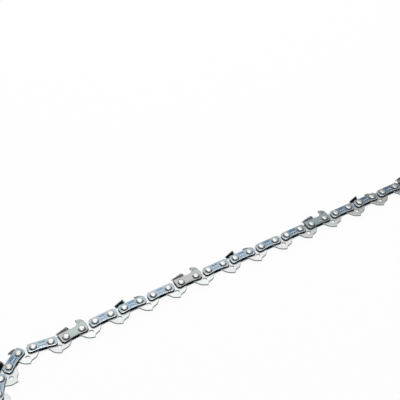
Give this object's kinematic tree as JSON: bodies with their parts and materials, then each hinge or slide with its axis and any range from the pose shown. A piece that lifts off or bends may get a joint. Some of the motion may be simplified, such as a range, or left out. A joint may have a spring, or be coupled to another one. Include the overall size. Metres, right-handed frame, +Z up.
{
  "type": "chainsaw chain loop",
  "caption": "Closed loop of saw chain lying on its side: drive links with pointed tangs, paired tie straps, left and right cutters in turn, rivets; pivots flex from a long loop to a ring.",
  "frame": {"origin": "centre of the loop, on the flat surface the loop lies on", "axes": "+Z up out of the surface; +X along the long straight runs, which is the way the cutters point on the run at +Y"},
  "size_m": [0.3974, 0.1696, 0.006],
  "materials": {
    "blued_steel": "blued, satin",
    "plated_steel": "hard plated, satin"
  },
  "bodies": {
    "link_01": {"tie_link_01": "blued_steel"},
    "link_02": {"lower_cutter_link_02": "plated_steel"},
    "link_03": {"tie_link_03": "blued_steel"},
    "link_04": {"upper_cutter_link_04": "plated_steel"},
    "link_05": {"tie_link_05": "blued_steel"},
    "link_06": {"lower_cutter_link_06": "plated_steel"},
    "link_07": {"tie_link_07": "blued_steel"},
    "link_08": {"upper_cutter_link_08": "plated_steel"},
    "link_09": {"tie_link_09": "blued_steel"},
    "link_10": {"lower_cutter_link_10": "plated_steel"},
    "link_11": {"tie_link_11": "blued_steel"},
    "link_12": {"tie_link_12": "blued_steel"},
    "link_13": {"upper_cutter_link_13": "plated_steel"},
    "link_14": {"tie_link_14": "blued_steel"},
    "link_15": {"lower_cutter_link_15": "plated_steel"},
    "link_16": {"tie_link_16": "blued_steel"},
    "link_17": {"upper_cutter_link_17": "plated_steel"},
    "link_18": {"tie_link_18": "blued_steel"},
    "link_19": {"lower_cutter_link_19": "plated_steel"},
    "link_20": {"tie_link_20": "blued_steel"},
    "link_21": {"upper_cutter_link_21": "plated_steel"},
    "link_22": {"tie_link_22": "blued_steel"},
    "link_23": {"lower_cutter_link_23": "plated_steel"},
    "link_24": {"tie_link_24": "blued_steel"},
    "link_25": {"upper_cutter_link_25": "plated_steel"},
    "link_26": {"tie_link_26": "blued_steel"},
    "link_27": {"lower_cutter_link_27": "plated_steel"},
    "link_28": {"tie_link_28": "blued_steel"},
    "link_29": {"upper_cutter_link_29": "plated_steel"},
    "link_30": {"tie_link_30": "blued_steel"},
    "link_31": {"lower_cutter_link_31": "plated_steel"},
    "link_32": {"tie_link_32": "blued_steel"},
    "link_33": {"upper_cutter_link_33": "plated_steel"},
    "link_34": {"tie_link_34": "blued_steel"},
    "link_35": {"lower_cutter_link_35": "plated_steel"},
    "link_36": {"tie_link_36": "blued_steel"},
    "link_37": {"tie_link_37": "blued_steel"},
    "link_38": {"upper_cutter_link_38": "plated_steel"},
    "link_39": {"tie_link_39": "blued_steel"},
    "link_40": {"lower_cutter_link_40": "plated_steel"},
    "link_41": {"tie_link_41": "blued_steel"},
    "link_42": {"upper_cutter_link_42": "plated_steel"},
    "link_43": {"tie_link_43": "blued_steel"},
    "link_44": {"lower_cutter_link_44": "plated_steel"},
    "link_45": {"tie_link_45": "blued_steel"},
    "link_46": {"upper_cutter_link_46": "plated_steel"},
    "link_47": {"tie_link_47": "blued_steel"},
    "link_48": {"lower_cutter_link_48": "plated_steel"},
    "link_49": {"tie_link_49": "blued_steel"},
    "link_50": {"upper_cutter_link_50": "plated_steel"}
  },
  "joints": [
    {"name": "pivot_01", "type": "hinge", "parent": "link_02", "child": "link_01", "pos_m": [-0.13481, 0.06694, 0.003], "axis": [0, 0, -1], "range_deg": [-3.26, 16.3]},
    {"name": "pivot_02", "type": "hinge", "parent": "link_03", "child": "link_02", "pos_m": [-0.1195, 0.07827, 0.003], "axis": [0, 0, -1], "range_deg": [-5.96, 29.8]},
    {"name": "pivot_03", "type": "hinge", "parent": "link_04", "child": "link_03", "pos_m": [-0.10059, 0.07652, 0.003], "axis": [0, 0, -1], "range_deg": [-7.65, 1.69]},
    {"name": "pivot_04", "type": "hinge", "parent": "link_05", "child": "link_04", "pos_m": [-0.08167, 0.076, 0.003], "axis": [0, 0, -1], "range_deg": [-7.65, 1.69]},
    {"name": "pivot_05", "type": "hinge", "parent": "link_06", "child": "link_05", "pos_m": [-0.06266, 0.07712, 0.003], "axis": [0, 0, -1], "range_deg": [-7.65, 1.69]},
    {"name": "pivot_06", "type": "hinge", "parent": "link_07", "child": "link_06", "pos_m": [-0.04361, 0.07712, 0.003], "axis": [0, 0, -1], "range_deg": [-7.65, 1.69]},
    {"name": "pivot_07", "type": "hinge", "parent": "link_08", "child": "link_07", "pos_m": [-0.02456, 0.07712, 0.003], "axis": [0, 0, -1], "range_deg": [-7.8, 1.72]},
    {"name": "pivot_08", "type": "hinge", "parent": "link_09", "child": "link_08", "pos_m": [-0.00551, 0.07712, 0.003], "axis": [0, 0, -1], "range_deg": [-7.8, 1.72]},
    {"name": "pivot_09", "type": "hinge", "parent": "link_09", "child": "link_10", "pos_m": [0.01354, 0.07712, 0.003], "axis": [0, 0, 1], "range_deg": [-7.8, 1.72]},
    {"name": "pivot_10", "type": "hinge", "parent": "link_10", "child": "link_11", "pos_m": [0.03259, 0.07712, 0.003], "axis": [0, 0, 1], "range_deg": [-7.8, 1.72]},
    {"name": "pivot_11", "type": "hinge", "parent": "link_11", "child": "link_12", "pos_m": [0.05164, 0.07712, 0.003], "axis": [0, 0, 1], "range_deg": [-7.8, 1.72]},
    {"name": "pivot_12", "type": "hinge", "parent": "link_12", "child": "link_13", "pos_m": [0.07069, 0.07712, 0.003], "axis": [0, 0, 1], "range_deg": [-7.8, 1.72]},
    {"name": "pivot_13", "type": "hinge", "parent": "link_13", "child": "link_14", "pos_m": [0.08974, 0.07712, 0.003], "axis": [0, 0, 1], "range_deg": [-7.8, 1.72]},
    {"name": "pivot_14", "type": "hinge", "parent": "link_14", "child": "link_15", "pos_m": [0.10879, 0.07712, 0.003], "axis": [0, 0, 1], "range_deg": [-7.8, 1.72]},
    {"name": "pivot_15", "type": "hinge", "parent": "link_15", "child": "link_16", "pos_m": [0.12784, 0.07712, 0.003], "axis": [0, 0, 1], "range_deg": [-7.8, 1.72]},
    {"name": "pivot_16", "type": "hinge", "parent": "link_16", "child": "link_17", "pos_m": [0.14689, 0.07712, 0.003], "axis": [0, 0, 1], "range_deg": [-7.8, 1.72]},
    {"name": "pivot_17", "type": "hinge", "parent": "link_17", "child": "link_18", "pos_m": [0.16594, 0.07712, 0.003], "axis": [0, 0, 1], "range_deg": [-4.56, 22.8]},
    {"name": "pivot_18", "type": "hinge", "parent": "link_18", "child": "link_19", "pos_m": [0.18244, 0.06759, 0.003], "axis": [0, 0, 1], "range_deg": [-4.56, 22.8]},
    {"name": "pivot_19", "type": "hinge", "parent": "link_19", "child": "link_20", "pos_m": [0.19196, 0.0511, 0.003], "axis": [0, 0, 1], "range_deg": [-4.56, 22.8]},
    {"name": "pivot_20", "type": "hinge", "parent": "link_20", "child": "link_21", "pos_m": [0.19196, 0.03205, 0.003], "axis": [0, 0, 1], "range_deg": [-4.56, 22.8]},
    {"name": "pivot_21", "type": "hinge", "parent": "link_21", "child": "link_22", "pos_m": [0.18244, 0.01555, 0.003], "axis": [0, 0, 1], "range_deg": [-7.8, 1.72]},
    {"name": "pivot_22", "type": "hinge", "parent": "link_22", "child": "link_23", "pos_m": [0.17291, -0.00095, 0.003], "axis": [0, 0, 1], "range_deg": [-7.8, 1.72]},
    {"name": "pivot_23", "type": "hinge", "parent": "link_23", "child": "link_24", "pos_m": [0.16339, -0.01745, 0.003], "axis": [0, 0, 1], "range_deg": [-5.63, 1.29]},
    {"name": "pivot_24", "type": "hinge", "parent": "link_24", "child": "link_25", "pos_m": [0.15386, -0.03395, 0.003], "axis": [0, 0, 1], "range_deg": [-5.63, 1.29]},
    {"name": "pivot_25", "type": "hinge", "parent": "link_25", "child": "link_26", "pos_m": [0.14434, -0.05044, 0.003], "axis": [0, 0, 1], "range_deg": [-5.63, 1.29]},
    {"name": "pivot_26", "type": "hinge", "parent": "link_26", "child": "link_27", "pos_m": [0.13481, -0.06694, 0.003], "axis": [0, 0, 1], "range_deg": [-3.46, 16.5]},
    {"name": "pivot_27", "type": "hinge", "parent": "link_27", "child": "link_28", "pos_m": [0.1195, -0.07827, 0.003], "axis": [0, 0, 1], "range_deg": [-6.16, 30]},
    {"name": "pivot_28", "type": "hinge", "parent": "link_28", "child": "link_29", "pos_m": [0.10059, -0.07652, 0.003], "axis": [0, 0, 1], "range_deg": [-7.65, 1.69]},
    {"name": "pivot_29", "type": "hinge", "parent": "link_29", "child": "link_30", "pos_m": [0.08167, -0.076, 0.003], "axis": [0, 0, 1], "range_deg": [-7.65, 1.69]},
    {"name": "pivot_30", "type": "hinge", "parent": "link_30", "child": "link_31", "pos_m": [0.06266, -0.07712, 0.003], "axis": [0, 0, 1], "range_deg": [-7.65, 1.69]},
    {"name": "pivot_31", "type": "hinge", "parent": "link_31", "child": "link_32", "pos_m": [0.04361, -0.07712, 0.003], "axis": [0, 0, 1], "range_deg": [-7.65, 1.69]},
    {"name": "pivot_32", "type": "hinge", "parent": "link_32", "child": "link_33", "pos_m": [0.02456, -0.07712, 0.003], "axis": [0, 0, 1], "range_deg": [-7.8, 1.72]},
    {"name": "pivot_33", "type": "hinge", "parent": "link_33", "child": "link_34", "pos_m": [0.00551, -0.07712, 0.003], "axis": [0, 0, 1], "range_deg": [-7.8, 1.72]},
    {"name": "pivot_35", "type": "hinge", "parent": "link_36", "child": "link_35", "pos_m": [-0.03259, -0.07712, 0.003], "axis": [0, 0, -1], "range_deg": [-7.8, 1.72]},
    {"name": "pivot_36", "type": "hinge", "parent": "link_37", "child": "link_36", "pos_m": [-0.05164, -0.07712, 0.003], "axis": [0, 0, -1], "range_deg": [-7.8, 1.72]},
    {"name": "pivot_37", "type": "hinge", "parent": "link_38", "child": "link_37", "pos_m": [-0.07069, -0.07712, 0.003], "axis": [0, 0, -1], "range_deg": [-7.8, 1.72]},
    {"name": "pivot_38", "type": "hinge", "parent": "link_39", "child": "link_38", "pos_m": [-0.08974, -0.07712, 0.003], "axis": [0, 0, -1], "range_deg": [-7.8, 1.72]},
    {"name": "pivot_39", "type": "hinge", "parent": "link_40", "child": "link_39", "pos_m": [-0.10879, -0.07712, 0.003], "axis": [0, 0, -1], "range_deg": [-7.8, 1.72]},
    {"name": "pivot_40", "type": "hinge", "parent": "link_41", "child": "link_40", "pos_m": [-0.12784, -0.07712, 0.003], "axis": [0, 0, -1], "range_deg": [-7.8, 1.72]},
    {"name": "pivot_41", "type": "hinge", "parent": "link_42", "child": "link_41", "pos_m": [-0.14689, -0.07712, 0.003], "axis": [0, 0, -1], "range_deg": [-7.8, 1.72]},
    {"name": "pivot_42", "type": "hinge", "parent": "link_43", "child": "link_42", "pos_m": [-0.16594, -0.07712, 0.003], "axis": [0, 0, -1], "range_deg": [-4.76, 23]},
    {"name": "pivot_43", "type": "hinge", "parent": "link_44", "child": "link_43", "pos_m": [-0.18244, -0.06759, 0.003], "axis": [0, 0, -1], "range_deg": [-4.76, 23]},
    {"name": "pivot_44", "type": "hinge", "parent": "link_45", "child": "link_44", "pos_m": [-0.19196, -0.0511, 0.003], "axis": [0, 0, -1], "range_deg": [-4.76, 23]},
    {"name": "pivot_45", "type": "hinge", "parent": "link_46", "child": "link_45", "pos_m": [-0.19196, -0.03205, 0.003], "axis": [0, 0, -1], "range_deg": [-4.76, 23]},
    {"name": "pivot_46", "type": "hinge", "parent": "link_47", "child": "link_46", "pos_m": [-0.18244, -0.01555, 0.003], "axis": [0, 0, -1], "range_deg": [-7.8, 1.72]},
    {"name": "pivot_47", "type": "hinge", "parent": "link_48", "child": "link_47", "pos_m": [-0.17291, 0.00095, 0.003], "axis": [0, 0, -1], "range_deg": [-7.8, 1.72]},
    {"name": "pivot_48", "type": "hinge", "parent": "link_49", "child": "link_48", "pos_m": [-0.16339, 0.01745, 0.003], "axis": [0, 0, -1], "range_deg": [-5.63, 1.29]},
    {"name": "pivot_49", "type": "hinge", "parent": "link_50", "child": "link_49", "pos_m": [-0.15386, 0.03395, 0.003], "axis": [0, 0, -1], "range_deg": [-5.63, 1.29]},
    {"name": "pivot_50", "type": "hinge", "parent": "link_01", "child": "link_50", "pos_m": [-0.14434, 0.05044, 0.003], "axis": [0, 0, -1], "range_deg": [-5.63, 1.29]}
  ],
  "couplings": [
    {"joint": "pivot_03", "follows": "pivot_02", "ratio": -0.25},
    {"joint": "pivot_04", "follows": "pivot_02", "ratio": -0.25},
    {"joint": "pivot_05", "follows": "pivot_02", "ratio": -0.25},
    {"joint": "pivot_06", "follows": "pivot_02", "ratio": -0.25},
    {"joint": "pivot_07", "follows": "pivot_20", "ratio": -0.33333},
    {"joint": "pivot_08", "follows": "pivot_19", "ratio": -0.33333},
    {"joint": "pivot_09", "follows": "pivot_19", "ratio": -0.33333},
    {"joint": "pivot_10", "follows": "pivot_19", "ratio": -0.33333},
    {"joint": "pivot_11", "follows": "pivot_18", "ratio": -0.33333},
    {"joint": "pivot_12", "follows": "pivot_18", "ratio": -0.33333},
    {"joint": "pivot_13", "follows": "pivot_18", "ratio": -0.33333},
    {"joint": "pivot_14", "follows": "pivot_17", "ratio": -0.33333},
    {"joint": "pivot_15", "follows": "pivot_17", "ratio": -0.33333},
    {"joint": "pivot_16", "follows": "pivot_17", "ratio": -0.33333},
    {"joint": "pivot_21", "follows": "pivot_20", "ratio": -0.33333},
    {"joint": "pivot_22", "follows": "pivot_20", "ratio": -0.33333},
    {"joint": "pivot_23", "follows": "pivot_01", "ratio": -0.33333},
    {"joint": "pivot_24", "follows": "pivot_01", "ratio": -0.33333},
    {"joint": "pivot_25", "follows": "pivot_01", "ratio": -0.33333},
    {"joint": "pivot_26", "follows": "pivot_01", "ratio": 1},
    {"joint": "pivot_27", "follows": "pivot_02", "ratio": 1},
    {"joint": "pivot_28", "follows": "pivot_02", "ratio": -0.25},
    {"joint": "pivot_29", "follows": "pivot_02", "ratio": -0.25},
    {"joint": "pivot_30", "follows": "pivot_02", "ratio": -0.25},
    {"joint": "pivot_31", "follows": "pivot_02", "ratio": -0.25},
    {"joint": "pivot_32", "follows": "pivot_20", "ratio": -0.33333},
    {"joint": "pivot_33", "follows": "pivot_19", "ratio": -0.33333},
    {"joint": "pivot_35", "follows": "pivot_19", "ratio": -0.33333},
    {"joint": "pivot_36", "follows": "pivot_18", "ratio": -0.33333},
    {"joint": "pivot_37", "follows": "pivot_18", "ratio": -0.33333},
    {"joint": "pivot_38", "follows": "pivot_18", "ratio": -0.33333},
    {"joint": "pivot_39", "follows": "pivot_17", "ratio": -0.33333},
    {"joint": "pivot_40", "follows": "pivot_17", "ratio": -0.33333},
    {"joint": "pivot_41", "follows": "pivot_17", "ratio": -0.33333},
    {"joint": "pivot_42", "follows": "pivot_17", "ratio": 1},
    {"joint": "pivot_43", "follows": "pivot_18", "ratio": 1},
    {"joint": "pivot_44", "follows": "pivot_19", "ratio": 1},
    {"joint": "pivot_45", "follows": "pivot_20", "ratio": 1},
    {"joint": "pivot_46", "follows": "pivot_20", "ratio": -0.33333},
    {"joint": "pivot_47", "follows": "pivot_20", "ratio": -0.33333},
    {"joint": "pivot_48", "follows": "pivot_01", "ratio": -0.33333},
    {"joint": "pivot_49", "follows": "pivot_01", "ratio": -0.33333},
    {"joint": "pivot_50", "follows": "pivot_01", "ratio": -0.33333}
  ]
}
